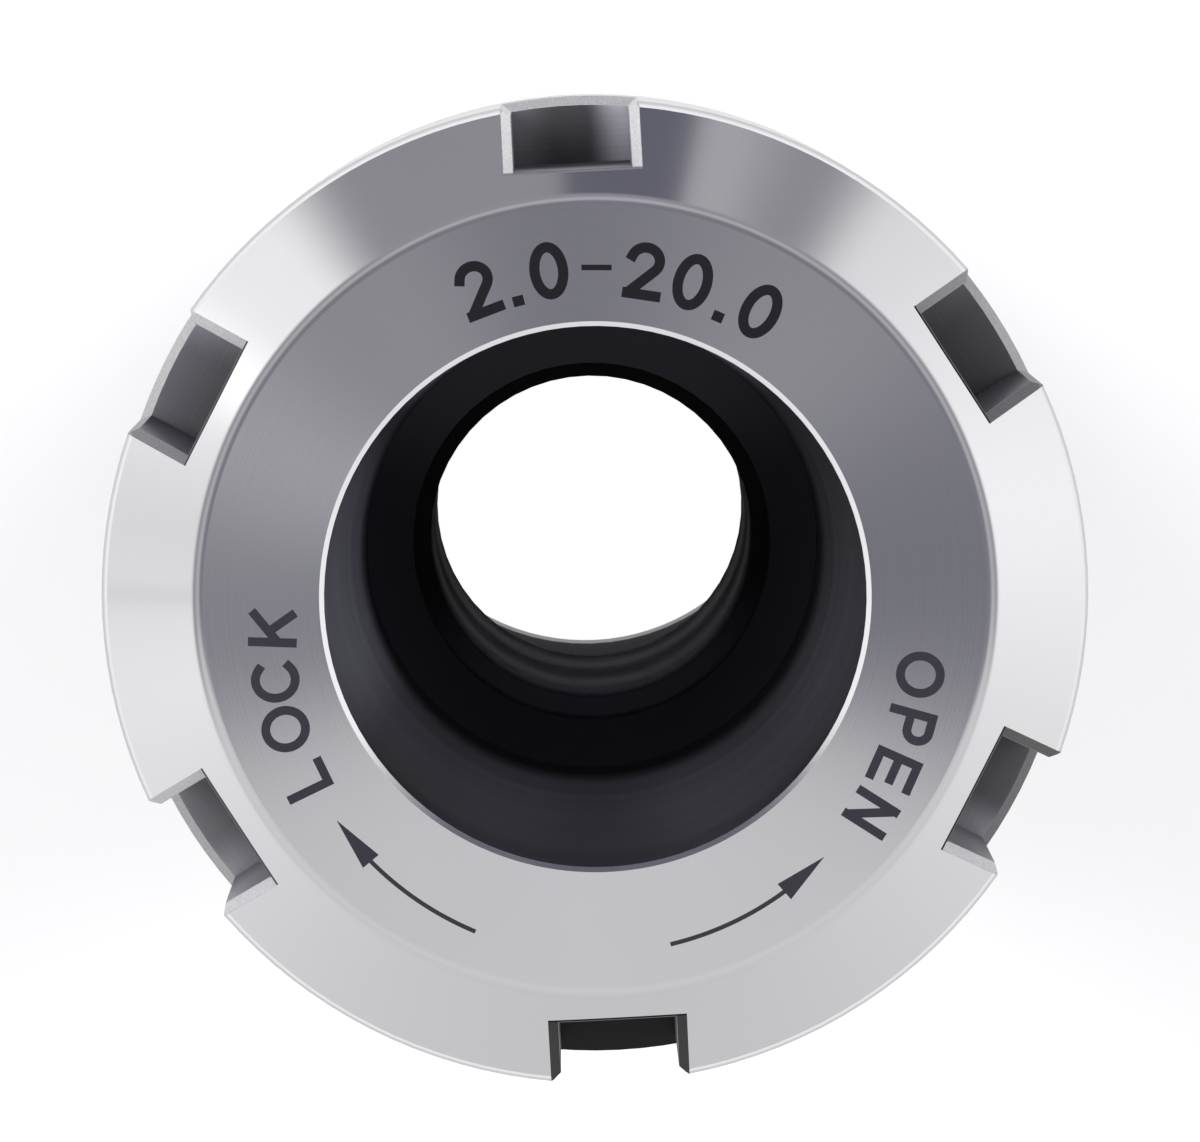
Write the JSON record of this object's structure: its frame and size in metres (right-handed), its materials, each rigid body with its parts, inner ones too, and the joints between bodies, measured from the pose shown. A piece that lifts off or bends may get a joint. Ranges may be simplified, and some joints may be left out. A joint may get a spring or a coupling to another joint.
{
  "type": "collet chuck",
  "caption": "Straight shank collet chuck: body with an 8 degree collet taper and through bore, and a round slotted clamping nut with an inner extractor ring.",
  "frame": {"origin": "centre of the shank's rear face, on the axis", "axes": "+Z along the axis towards the clamping nut, +Y through the middle of one of the nut's spanner slots"},
  "size_m": [0.05, 0.05, 0.153],
  "materials": {
    "body_steel": "blackened alloy steel, ground taper and shank",
    "nut_steel": "satin turned steel",
    "ring_steel": "ground steel",
    "spring_steel": "flat spring steel"
  },
  "bodies": {
    "chuck": {"chuck_body": "body_steel"},
    "ring": {"extractor_ring": "ring_steel"},
    "nut": {"clamping_nut": "nut_steel", "snap_ring": "spring_steel"}
  },
  "joints": [
    {"name": "nut_travel", "type": "slide", "parent": "chuck", "child": "ring", "axis": [0, 0, 1], "range_m": [0, 0.012]},
    {"name": "nut_turn", "type": "hinge", "parent": "ring", "child": "nut", "pos_m": [0, 0, 0.14175], "axis": [0, 0, 1], "range_deg": [0, 2880]}
  ],
  "couplings": [
    {"joint": "nut_travel", "follows": "nut_turn", "m_per_rad": 0.00023873}
  ]
}
